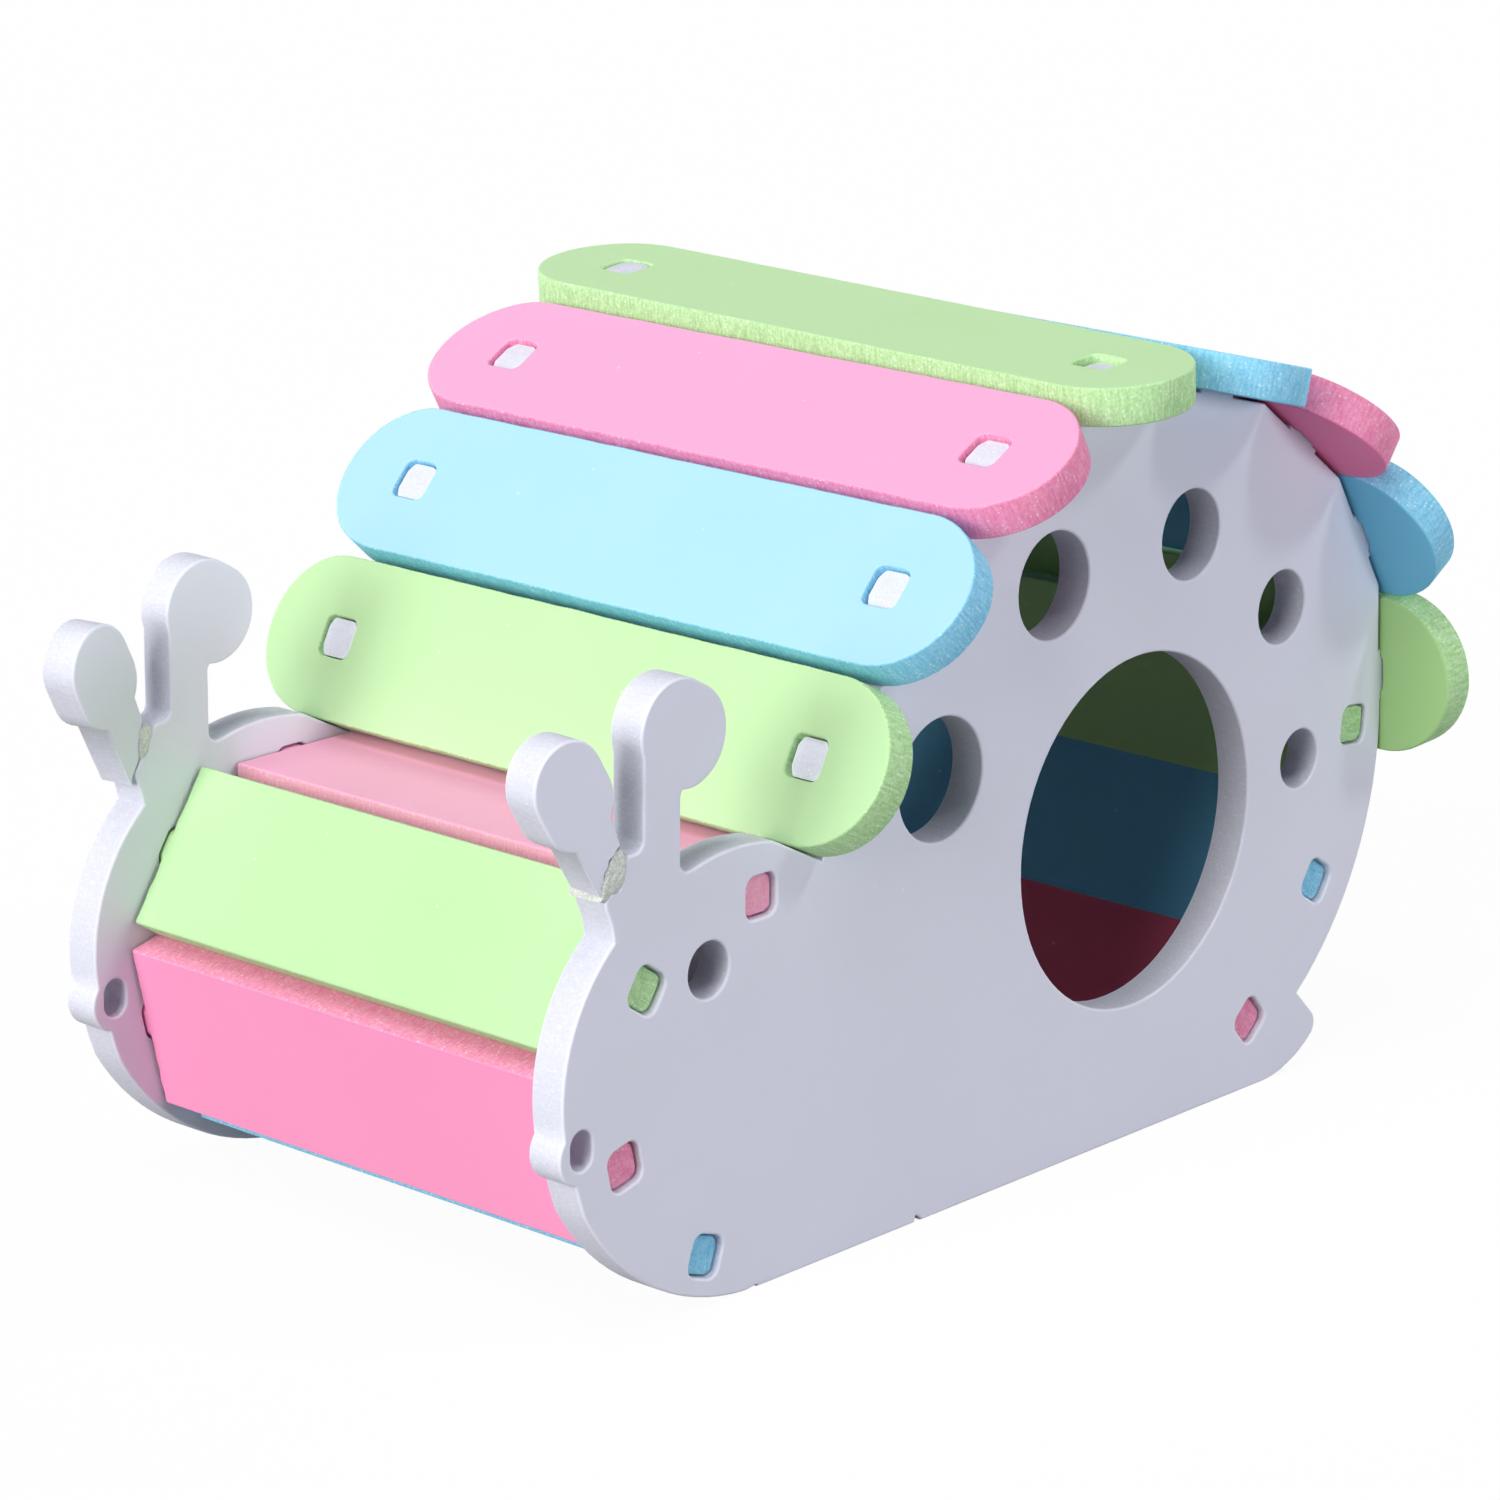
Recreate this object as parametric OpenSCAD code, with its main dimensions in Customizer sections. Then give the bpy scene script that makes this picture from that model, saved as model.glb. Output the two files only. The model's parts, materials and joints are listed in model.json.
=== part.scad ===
// Snail shaped hideout for a small pet, slotted together from foam board.
// The snail faces along -X, its two side panels stand at -Y and +Y, and Z is up.
// Profile places are [x, z]: x runs from the shell centre to the tail, z from the floor.

/* [Board and joinery] */
// Thickness of the foam board that every piece is cut from
board_t = 5; // [4:0.5:7]
// Width of the tabs that lock the pieces together
tab_w = 5; // [4:0.5:7]
// Play between a tab and each side of its slot
slot_play = 0.2; // [0.2:0.05:0.4]
// Corner radius of the slots
slot_corner_r = 0.6; // [0.2:0.05:0.65]
// How far the roof tabs stop below the outer face of the roof slats
roof_tab_recess = 1.2; // [0.4:0.1:2]
// How far the inner slat tabs stop inside the outer face of the panels
end_tab_recess = 0.4; // [0.2:0.1:1.5]
// Ledge on each side of a roof tab that the slat rests on
seat_ledge = 1; // [0.5:0.1:2]
// Gap between the rim of a panel and the underside of a roof slat beside its ledges
rim_gap = 0.5; // [0.2:0.1:1]

/* [Shell] */
// Clear width between the two side panels
inner_w = 75; // [60:1:110]
// Distance from the shell centre to the underside of the top roof slats
seat_r = 55.1; // [50:0.1:62]
// Height of the shell centre above the floor
shell_z = 43; // [41:0.5:47]
// Angle of the foremost roof slat round the shell centre
roof_start = 162.2; // [158:0.2:166]
// Angle between the two foremost roof slats
front_pitch = 21.3; // [21:0.05:22.5]
// Angle between the other neighbouring roof slats
roof_pitch = 21.93; // [20.5:0.01:23]
// Gap between the inner edges of neighbouring roof slats
roof_gap = 0.5; // [0.3:0.05:1.5]
// How far each roof slat runs out past the outer face of a panel
roof_overhang = 9.8; // [4:0.2:16]
// Growth of the shell radius towards the head
shell_flare = 1.2; // [0.9:0.05:1.6]
// Shrink of the shell radius at the rear slat
shell_tuck = 2.2; // [1.4:0.1:3]
// Gap between the curve of the lower rear rim and the underside of the rear slat
rear_rim_gap = 0.1; // [0.05:0.05:0.3]
// Distance from the shell centre back to the centre of that curve
rear_rim_back = 8.2; // [6:0.1:10]
// Height of that centre above the shell centre
rear_rim_lift = 2.08; // [1.5:0.01:3]

/* [Openings] */
// Radius of the round entrance
entrance_r = 23.3; // [18:0.1:25]
// Height of the entrance centre above the floor
entrance_z = 41.25; // [38:0.25:44]
// Radius of the foremost vent hole
vent_r_front = 7.9; // [6:0.1:9]
// Radius of the rearmost vent hole
vent_r_rear = 4; // [3:0.1:5.5]
// Radius of the eye hole
eye_r = 3.55; // [2.5:0.05:4.5]
// Width of the mouth hole
mouth_w = 3.6; // [2.5:0.1:4.4]
// Height of the mouth hole
mouth_h = 5; // [4.6:0.1:6]

/* [Head] */
// Distance from the lower edge of the foremost roof slat to the head centre
head_setback = 14.5; // [13:0.1:17]
// Board above the neck slat, up to the top of the head curve
neck_cover = 4.6; // [4:0.1:7]
// Radius of the forehead curve
forehead_r = 23.3; // [22:0.1:25]
// Distance from the head centre forward to the centre of the forehead curve
forehead_reach = 6.3; // [5:0.1:8]
// Height of the forehead centre above the head centre
forehead_lift = 3.1; // [2:0.1:4]
// Radius of the chin curve where it runs into the floor
chin_r = 35.1; // [32:0.1:40]
// Distance from the head centre back to where the chin curve meets the floor
chin_back = 4.2; // [3:0.1:6]
// Distance from the head centre forward to the mouth hole
mouth_reach = 26.4; // [25.5:0.1:27]
// Distance from the head centre down to the mouth hole
mouth_drop = 2.6; // [1:0.1:4]
// Radius of the lip round the mouth hole
lip_r = 3.7; // [3.2:0.1:4.5]
// How far the centre of the lip lies below the centre of the mouth hole
lip_drop = 0.6; // [0:0.1:1]
// Distance from the head centre forward to the eye hole
eye_reach = 4.8; // [2:0.1:8]
// Height of the eye hole above the head centre
eye_lift = 14.1; // [12:0.1:16]
// Width of the antenna stalks
stalk_w = 6.3; // [5:0.1:8]
// Distance from the head centre forward to the root of the front antenna
front_root_reach = 19.1; // [18:0.1:20]
// Height of the root of the front antenna above the head centre
front_root_lift = 24.4; // [23:0.1:25.5]
// Distance from the head centre forward to the tip of the front antenna
front_tip_reach = 27.75; // [26:0.05:30]
// Height of the tip of the front antenna above the head centre
front_tip_lift = 40.2; // [38:0.1:42]
// Length of the front antenna tip
front_tip_l = 14; // [12:0.1:17]
// Width of the front antenna tip
front_tip_w = 10.8; // [9:0.1:12]
// Distance from the head centre forward to the stalk of the rear antenna
rear_stalk_reach = 12.9; // [12:0.1:14]
// Height of the top of the rear stalk above the head centre
rear_stalk_lift = 44; // [43:0.1:45]
// Distance from the head centre forward to the tip of the rear antenna
rear_tip_reach = 9.2; // [8.5:0.1:10]
// Height of the tip of the rear antenna above the head centre
rear_tip_lift = 43.8; // [43:0.1:45]
// Height of the valley between the antennae above the head centre
valley_lift = 31.2; // [30:0.1:32]
// Length of the rear antenna tip
rear_tip_l = 14.8; // [13:0.1:17]
// Width of the rear antenna tip
rear_tip_w = 12.6; // [10:0.1:13]
// Radius that softens the inner corners at the antennae
antenna_fillet_r = 1.4; // [0.6:0.1:2]

/* [Tail] */
// Distance from the shell centre to where the tail starts to curl up
tail_x = 28.5; // [24:0.5:32]
// Radius of the curl under the tail
tail_curl_r = 16.75; // [14:0.25:19]
// Radius of the tail tip
tail_tip_r = 2.2; // [1.6:0.1:3]

/* [Inner slats] */
// Width of the slats between the panels
inner_slat_w = 20.5; // [17:0.1:22]
// Gap between the edges of neighbouring inner slats
inner_gap = 0.3; // [0.2:0.05:1.5]
// Clearance under the lowest inner slats
floor_gap = 0.7; // [0.4:0.1:2]
// Gap between the neck slat and the foremost roof slat
neck_gap = 0.3; // [0.2:0.05:1]
// Gap between the neck slat and the top of the face slat
neck_front_gap = 2.4; // [1:0.1:4]
// Distance from the head centre forward to the lower edge of the chin slat
chin_joint_reach = 14.2; // [13:0.1:15.5]
// Distance from the head centre down to the lower edge of the chin slat
chin_joint_drop = 16.1; // [15:0.1:17]
// Distance from the seat of the rear roof slat forward to the foot of the rear inner slats
rear_chain_l = 36; // [34:0.1:38]

/* [Hidden] */
$fn = 96;

// Board colours
white = [0.93, 0.93, 0.96];
green = [0.76, 0.93, 0.66];
blue = [0.62, 0.86, 0.95];
pink = [0.97, 0.62, 0.79];

// Roof slats from the head to the tail, and the slats between which the shell is round
roof_colours = [green, blue, pink, green, blue, pink, blue, green];
last_roof = len(roof_colours) - 1;
round_first = 2;
round_last = last_roof - 1;

// Directions in the profile plane
function along(a) = [cos(a), sin(a)];
function across(a) = [-sin(a), cos(a)];

// Point where the line through p at angle a meets the line through q at angle b
function meet(p, a, q, b) =
    let (d = q - p)
    p + (d[0] * sin(b) - d[1] * cos(b)) / sin(b - a) * along(a);

// Roof seats lie on a circle that flares out to the head and tucks in at the rear.
// Off the circle, a seat leans along the step in radius between it and its neighbour.
shell_c = [0, shell_z];
function flare_steps(i) = max(0, round_first - i);
function tuck_steps(i) = max(0, i - round_last);
function seat_angle(i) = i == 0 ? roof_start : roof_start - front_pitch - roof_pitch * (i - 1);
function seat_radius(i) = seat_r + shell_flare * pow(flare_steps(i), 2) - shell_tuck * pow(tuck_steps(i), 2);
function radius_step(i) =
    i < round_first ? seat_radius(i) - seat_radius(i + 1) :
    i > round_last ? seat_radius(i - 1) - seat_radius(i) : 0;
function pitch_at(i) = i == 0 ? front_pitch : roof_pitch;
function seat_lean(i) = atan(radius_step(i) / (seat_radius(i) * pitch_at(i) * PI / 180));
function seat_tilt(i) = seat_angle(i) - seat_lean(i) - 90;
function seat_point(i) = shell_c + seat_radius(i) * along(seat_angle(i));
function rim_point(i) = seat_point(i) - rim_gap * across(seat_tilt(i));
function rim_corner(i) = meet(rim_point(i), seat_tilt(i), rim_point(i + 1), seat_tilt(i + 1));
roof_slat_w = 2 * seat_r * tan(roof_pitch / 2) - roof_gap;
outer_w = inner_w + 2 * board_t;
roof_slat_l = outer_w + 2 * roof_overhang;
slot_w = tab_w + 2 * slot_play;
slot_t = board_t + 2 * slot_play;
ledge_w = tab_w + 2 * seat_ledge;
roof_tab_h = board_t - roof_tab_recess;
notch_w = roof_slat_w / 4;
notch_depth = 2 * rim_gap;
notch_h = 2 * board_t;

// Outline of the ledges and tab of a roof seat, from the head side to the tail side
function seat_outline(i) = [
    for (q = [
        [-ledge_w / 2, -rim_gap], [-ledge_w / 2, 0], [-tab_w / 2, 0], [-tab_w / 2, roof_tab_h],
        [tab_w / 2, roof_tab_h], [tab_w / 2, 0], [ledge_w / 2, 0], [ledge_w / 2, -rim_gap]
    ]) seat_point(i) + q[0] * along(seat_tilt(i)) + q[1] * across(seat_tilt(i))
];

// Lower rear rim of the shell
rear_c = shell_c + [rear_rim_back, rear_rim_lift];
rear_r = (seat_point(last_roof) - rear_c) * across(seat_tilt(last_roof)) - rear_rim_gap;

// The head hangs on the lower front edge of the foremost roof slat
front_edge = seat_point(0) - roof_slat_w / 2 * along(seat_tilt(0));
neck_top = front_edge[1] - neck_gap;
head_r = (neck_top + neck_cover) / 2;
head_c = [front_edge[0] - head_setback, head_r];
forehead_c = head_c + [-forehead_reach, forehead_lift];
chin_c = [head_c[0] + chin_back, chin_r];
mouth_c = head_c + [-mouth_reach, -mouth_drop];
eye_c = head_c + [-eye_reach, eye_lift];

// Antennae: stalk roots and tip centres, and the angles of the tips
front_root = head_c + [-front_root_reach, front_root_lift];
front_tip = head_c + [-front_tip_reach, front_tip_lift];
front_lean = atan2(front_tip[1] - front_root[1], front_tip[0] - front_root[0]);
rear_root = head_c + [-rear_stalk_reach, head_r - stalk_w];
rear_top = head_c + [-rear_stalk_reach, rear_stalk_lift];
rear_tip = head_c + [-rear_tip_reach, rear_tip_lift];
rear_tip_a = 150;
valley_z = head_c[1] + valley_lift;
fillet_bite = 0.01;
rear_stalk_front = rear_root[0] - stalk_w / 2;
rear_stalk_back = rear_root[0] + stalk_w / 2;
front_stalk_side = front_root - stalk_w / 2 * across(front_lean);
front_valley = meet(front_stalk_side, front_lean, [0, valley_z], 0);
nape = [rear_stalk_back, head_c[1] + sqrt(pow(head_r, 2) - pow(rear_stalk_back - head_c[0], 2))];
nape_a = asin((head_c[0] - rear_stalk_back) / head_r);

// Tail: the curl runs through this sweep and ends in the round tip, which lies just inside it
tail_sweep = 40;
tail_tip_inset = 0.02;
tail_c = [tail_x, tail_curl_r];
tail_tip = tail_c + (tail_curl_r - tail_tip_r - tail_tip_inset) * along(tail_sweep - 90);
tail_back_a = 135;
tail_back_l = 3 * tail_tip_r;

// Vents round the shell: angle, and distance in from the roof seats
vent_angles = [161, 118, 75, 37, 1];
vent_insets = [13.6, 16.7, 18.4, 18.3, 20.7];
last_vent = len(vent_angles) - 1;
function vent_r(i) = vent_r_front + (vent_r_rear - vent_r_front) * i / last_vent;

// Inner slats are given by the start and direction of their inner face.
// The slats of the head turn one way round it, those of the rear the other way.
inner_pitch = inner_slat_w + inner_gap;
chin_a = 103.5;
face_a = 56.6;
floor_joint = head_c + [-chin_joint_reach, -chin_joint_drop];
floor_a = 180 - asin((floor_joint[1] - board_t - floor_gap) / inner_pitch);
face_joint = floor_joint + inner_pitch * along(chin_a);
neck_joint = face_joint + inner_pitch * along(face_a);
neck_start = neck_joint[0] + neck_front_gap;
neck_end = front_edge[0] - 2 * neck_gap;
neck_w = neck_end - neck_start;
lower_a = 42;
middle_a = 57;
upper_a = 84;
lower_x = seat_point(last_roof)[0] - rear_chain_l;
lower_joint = [lower_x, floor_gap + board_t * cos(lower_a)] - inner_gap / 2 * along(lower_a);
middle_joint = lower_joint + inner_pitch * along(lower_a);
upper_joint = middle_joint + inner_pitch * along(middle_a);

// Middle of an inner slat: joint, direction, and the side that the interior is not on
function slat_middle(joint, a, side) = joint + inner_pitch / 2 * along(a) + side * board_t / 2 * across(a);
floor_m = slat_middle(floor_joint - inner_pitch * along(floor_a), floor_a, 1);
chin_m = slat_middle(floor_joint, chin_a, 1);
face_m = slat_middle(face_joint, face_a, 1);
neck_m = [neck_start + neck_w / 2, neck_top - board_t / 2];
lower_m = slat_middle(lower_joint, lower_a, -1);
middle_m = slat_middle(middle_joint, middle_a, -1);
upper_m = slat_middle(upper_joint, upper_a, -1);
inner_slots = [
    [neck_m, 0], [face_m, face_a], [chin_m, chin_a], [floor_m, floor_a],
    [upper_m, upper_a], [middle_m, middle_a], [lower_m, lower_a]
];

// The origin is on the floor, half way between the front antenna and the rear slat
front_reach = front_tip[0] + (front_tip_l - front_tip_w) / 2 * cos(front_lean) - front_tip_w / 2;
rear_reach = max([
    for (i = [0:last_roof], s = [-1, 1])
        (seat_point(i) + s * roof_slat_w / 2 * along(seat_tilt(i)) + board_t * across(seat_tilt(i)))[0]
]);
origin_x = (front_reach + rear_reach) / 2;
floor_cut = 3 * seat_r;

// Flat shapes

// Bar with two full round ends, l long and w wide, along X
module round_bar(l, w) {
    square([l - w, w], center = true);
    for (s = [-1, 1]) translate([s * (l - w) / 2, 0]) circle(d = w);
}

// Rectangle with round corners
module round_rect(w, h, r) {
    square([w - 2 * r, h], center = true);
    square([w, h - 2 * r], center = true);
    for (x = [-1, 1], y = [-1, 1]) translate([x * (w / 2 - r), y * (h / 2 - r)]) circle(r);
}

// Board of the given flat shape, and a cut right through a board
module plate() { linear_extrude(board_t) children(); }
module cut() { translate([0, 0, -board_t]) linear_extrude(3 * board_t) children(); }

// Side panel, lying flat

// Straight bar from p to q
module bar(p, q, w) {
    a = atan2(q[1] - p[1], q[0] - p[0]);
    side = w / 2 * across(a);
    plate() polygon([p + side, p - side, q - side, q + side]);
}

// Board left in the inner corner p between edges that leave it at angles a and b.
// It reaches as deep into the board behind each edge as its radius, and its curve just crosses the edges.
module corner_fill(p, a, b, r) {
    half = (b - a) / 2;
    centre = p + (r / sin(half) - fillet_bite) * along(a + half);
    touch_a = p + r / tan(half) * along(a);
    touch_b = p + r / tan(half) * along(b);
    difference() {
        plate() polygon([
            2 * p - centre, touch_a - r * across(a), touch_a,
            centre, touch_b, touch_b + r * across(b)
        ]);
        cut() translate(centre) circle(r);
    }
}

// Rim flats under the roof slats, with the ledges and tabs that carry the slats
module shell_rim() {
    front = rim_point(0) - roof_slat_w / 2 * along(seat_tilt(0));
    rear = rim_point(last_roof) + roof_slat_w / 2 * along(seat_tilt(last_roof));
    rim = [
        for (i = [0:last_roof], p = concat(seat_outline(i), i < last_roof ? [rim_corner(i)] : [])) p
    ];
    plate() polygon(concat([head_c, front], rim, [rear, shell_c]));
}

// Room for the lower edge of the foremost roof slat where the head would run into it
module front_notch() {
    start = -roof_slat_w / 2 - rim_gap;
    translate(seat_point(0)) rotate(seat_tilt(0))
        cut() translate([start, -notch_depth]) square([notch_w, notch_depth + notch_h]);
}

module head_outline() {
    plate() translate(forehead_c) circle(forehead_r);
    intersection() {
        plate() translate(head_c) circle(head_r);
        plate() translate(chin_c) circle(chin_r);
    }
    plate() translate(mouth_c - [0, lip_drop]) circle(lip_r);
}

module antennae() {
    bar(front_root - stalk_w / 2 * along(front_lean), front_tip, stalk_w);
    plate() translate(front_tip) rotate(front_lean) round_bar(front_tip_l, front_tip_w);
    bar(rear_root, rear_top, stalk_w);
    plate() translate(rear_tip) rotate(rear_tip_a) round_bar(rear_tip_l, rear_tip_w);
    plate() polygon([front_root, front_valley, [rear_root[0], valley_z], rear_root]);
    corner_fill([rear_stalk_front, valley_z], 90, 180, antenna_fillet_r);
    corner_fill(front_valley, 0, front_lean, antenna_fillet_r);
    corner_fill(nape, nape_a, 90, antenna_fillet_r);
    corner_fill([rear_stalk_back, rear_tip[1] - rear_tip_w / 2], -90, 0, antenna_fillet_r);
}

module tail() {
    tip_side = tail_tip + tail_tip_r * along(tail_back_a - 90);
    far = tail_curl_r / cos(tail_sweep / 2);
    intersection() {
        plate() translate(tail_c) circle(tail_curl_r);
        plate() polygon([tail_c, tail_c + far * along(-90), tail_c + far * along(tail_sweep - 90)]);
    }
    plate() translate(tail_tip) circle(tail_tip_r);
    plate() polygon([tail_c, tail_tip, tip_side, tip_side + tail_back_l * along(tail_back_a)]);
}

module panel_body() {
    tail();
    antennae();
    difference() {
        union() {
            shell_rim();
            plate() polygon([[chin_c[0], 0], [tail_x, 0], tail_c, rear_c, shell_c, head_c]);
            plate() translate(rear_c) circle(rear_r);
            head_outline();
        }
        front_notch();
    }
}

module flat_panel() {
    difference() {
        panel_body();
        cut() translate([-floor_cut, -floor_cut]) square([2 * floor_cut, floor_cut]);
        cut() translate([0, entrance_z]) circle(entrance_r);
        for (i = [0:last_vent])
            cut() translate(shell_c + (seat_r - vent_insets[i]) * along(vent_angles[i])) circle(vent_r(i));
        cut() translate(eye_c) circle(eye_r);
        cut() translate(mouth_c) rotate(90) round_bar(mouth_h, mouth_w);
        for (s = inner_slots)
            cut() translate(s[0]) rotate(s[1]) round_rect(slot_w, slot_t, slot_corner_r);
    }
}

// Slats, lying flat

module roof_slat_shape() {
    difference() {
        rotate(90) round_bar(roof_slat_l, roof_slat_w);
        for (s = [-1, 1])
            translate([0, s * (inner_w + board_t) / 2]) round_rect(slot_w, slot_t, slot_corner_r);
    }
}

module inner_slat_shape(w) {
    square([w, inner_w], center = true);
    square([tab_w, outer_w - 2 * end_tab_recess], center = true);
}

// Standing pieces

// Side panel whose face towards +Y lies at y
module panel(y) {
    color(white) translate([-origin_x, y, 0]) rotate([90, 0, 0]) flat_panel();
}

module left_panel() { panel(-inner_w / 2); }
module right_panel() { panel(outer_w / 2); }

module roof_slat(i) {
    p = seat_point(i);
    color(roof_colours[i])
        translate([p[0] - origin_x, 0, p[1]]) rotate([0, -seat_tilt(i), 0])
            plate() roof_slat_shape();
}

module inner_slat(p, a, w, colour) {
    color(colour)
        translate([p[0] - origin_x, 0, p[1]]) rotate([0, -a, 0])
            translate([0, 0, -board_t / 2]) plate() inner_slat_shape(w);
}

module neck_slat() { inner_slat(neck_m, 0, neck_w, pink); }
module face_slat() { inner_slat(face_m, face_a, inner_slat_w, green); }
module chin_slat() { inner_slat(chin_m, chin_a, inner_slat_w, pink); }
module front_floor_slat() { inner_slat(floor_m, floor_a, inner_slat_w, blue); }
module rear_upper_slat() { inner_slat(upper_m, upper_a, inner_slat_w, green); }
module rear_middle_slat() { inner_slat(middle_m, middle_a, inner_slat_w, blue); }
module rear_lower_slat() { inner_slat(lower_m, lower_a, inner_slat_w, pink); }

left_panel();
right_panel();
for (i = [0:last_roof])
    roof_slat(i);
neck_slat();
face_slat();
chin_slat();
front_floor_slat();
rear_upper_slat();
rear_middle_slat();
rear_lower_slat();
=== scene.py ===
"""Looks of a snail-shaped hideout for a small pet, slotted together from foam board.

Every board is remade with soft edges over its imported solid, in the same place.
The snail faces along -X, its side panels stand at -Y and +Y, and Z is up. Lengths are in metres.
"""

import json
import math
import random

import bmesh
import bpy
from mathutils import Matrix, Vector
from mathutils.geometry import delaunay_2d_cdt, intersect_line_line_2d, intersect_point_line


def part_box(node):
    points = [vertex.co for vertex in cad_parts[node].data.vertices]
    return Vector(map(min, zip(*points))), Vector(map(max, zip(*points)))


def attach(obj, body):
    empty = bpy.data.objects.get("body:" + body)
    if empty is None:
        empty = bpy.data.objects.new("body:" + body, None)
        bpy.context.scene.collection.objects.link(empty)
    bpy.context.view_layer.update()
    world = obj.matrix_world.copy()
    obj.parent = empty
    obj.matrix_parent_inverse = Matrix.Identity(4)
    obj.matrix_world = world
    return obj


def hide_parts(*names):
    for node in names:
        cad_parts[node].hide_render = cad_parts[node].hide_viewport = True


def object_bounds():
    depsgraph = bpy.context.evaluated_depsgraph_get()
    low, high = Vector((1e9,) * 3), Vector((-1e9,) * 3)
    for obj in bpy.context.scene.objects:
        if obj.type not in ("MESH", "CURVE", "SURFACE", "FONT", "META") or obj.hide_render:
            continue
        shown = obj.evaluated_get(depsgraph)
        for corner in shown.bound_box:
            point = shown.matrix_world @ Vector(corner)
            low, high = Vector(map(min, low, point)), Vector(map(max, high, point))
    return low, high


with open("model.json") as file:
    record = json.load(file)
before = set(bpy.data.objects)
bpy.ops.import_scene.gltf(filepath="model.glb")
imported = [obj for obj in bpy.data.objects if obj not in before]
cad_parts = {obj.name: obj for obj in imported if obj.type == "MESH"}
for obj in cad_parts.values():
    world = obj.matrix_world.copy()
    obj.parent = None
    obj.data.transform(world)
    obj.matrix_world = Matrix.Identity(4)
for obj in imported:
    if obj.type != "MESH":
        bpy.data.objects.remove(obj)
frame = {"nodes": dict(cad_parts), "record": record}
cad_low, cad_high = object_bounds()
nodes = frame["nodes"]
slots = {s["node"]: s["material_slot"] for s in frame["record"]["subparts"]}

MM = 0.001

# Joinery, as in the solids
PANEL_T = 5.0 * MM
CLEAR_WIDTH = 75.0 * MM
TAB_W = 5.0 * MM
SLOT_W = 5.4 * MM
SLOT_SPACING = 80.0 * MM

# Softening of the cut edges, and round corners of the panels' slots, the inner slats' tabs and the roof slats'
# slots and ends
EDGE_R = 0.3 * MM
EDGE_STEPS = 3
EDGE_FROM = math.radians(60)
ROUND_SLOT_R = 1.5 * MM
TAB_CORNER_R = 1.3 * MM
CORNER_STEPS = 6
SLOT_CORNER_R = 1.1 * MM
SLOT_CORNER_STEPS = 4
ROUND_END_STEPS = 28

# Shading: the turn from which an edge stays sharp, and how squarely a face looks along the thickness: more
# than the first share for flat skin, less than the second for a cut edge
SHARP_FROM = math.radians(50)
FLAT_SKIN = 0.999
CUT_EDGE = 0.5

# Limits for outlines and triangles
SHORTEST_EDGE = 0.1 * MM
SAME_POINT = 0.001 * MM
MITRE_LIMIT = 0.35
CDT_INSIDE = 1
CDT_CLOSE = 1e-9

# Tabs of the inner slats: their play, and how far inside the panels' faces they end
TAB_PLAY = 0.2 * MM
TAB_RECESS = 0.4 * MM
own_recess = {"rear_upper_slat": 0.1 * MM}

# Tabs in the roof slats: their softening, where along their tops it ends, and how much higher than in the
# solids they stand in the foremost slats
TAB_EDGE_R = 1.1 * MM
TAB_TOP_SHARES = (0.24, 0.76)
roof_slats = [f"roof_slat_{number}" for number in range(1, 9)]
tab_raise = {
    "near": dict(zip(roof_slats, (0.4 * MM, 0.4 * MM, 0.4 * MM, 0.6 * MM))),
    "far": dict(zip(roof_slats, (0.7 * MM, 0.6 * MM, 0.6 * MM, 2.4 * MM))),
}

# Unevenness of the cut boards: the wander of round outlines, and the ragged shoulders beside the tabs
OUTLINE_STEP = 1.0 * MM
OUTLINE_WANDER = 0.3 * MM
OUTLINE_NOISE = 130
SHOULDER_STEPS = 14
SHOULDER_SHORT = 0.15 * MM
SHOULDER_RAGGED = 0.5 * MM
SHOULDER_NOISE = 5.0

# Neighbouring slats are pressed together, which takes up the play between their solids
PRESSED = 0.8 * MM
ROOF_PRESSED = 0.5 * MM

# Slats that reach further, or less far, than their solids: at the front or upper edge, and at the other one
reaches = {
    "neck_slat": (0.0, 3.0 * MM),
    "chin_slat": (0.0, 0.8 * MM),
    "front_floor_slat": (-3.0 * MM, 0.0),
}

# Roof slat that is not pressed home: lift of its middle, and degrees that its far end and front edge are up
not_home = {"roof_slat_4": (1.0 * MM, 0.72, 2.0)}

# Roof slats whose slots are off the middle, so that they overhang further on the near side
off_middle = {
    "roof_slat_5": -1.5 * MM,
    "roof_slat_6": -1.6 * MM,
    "roof_slat_7": -1.1 * MM,
    "roof_slat_8": -1.1 * MM,
}

# Slats whose upper face, as they lie, looks into the hideout and takes the darker, deeper copy of the skin
# colour, which is painted shade
inside_up = (
    "chin_slat", "front_floor_slat",
    "rear_upper_slat", "rear_middle_slat", "rear_lower_slat",
)

# Inside corner where the shell meets the tail: its radius, the turn it is known by, the share of its sides
# that it may take up, and the rear and low shares of the object that it lies in
TAIL_NOTCH_R = 1.6 * MM
TAIL_NOTCH_TURN = math.radians(25)
TAIL_NOTCH_SHARE = 0.9
TAIL_FROM = 0.8
TAIL_BELOW = 0.3

# Corners of a small nick in the near panel's bottom edge, in millimetres
NICK = ((-16.7, 0.0), (-16.4, 0.9), (-15.9, 0.6), (-15.4, 0.0))

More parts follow.
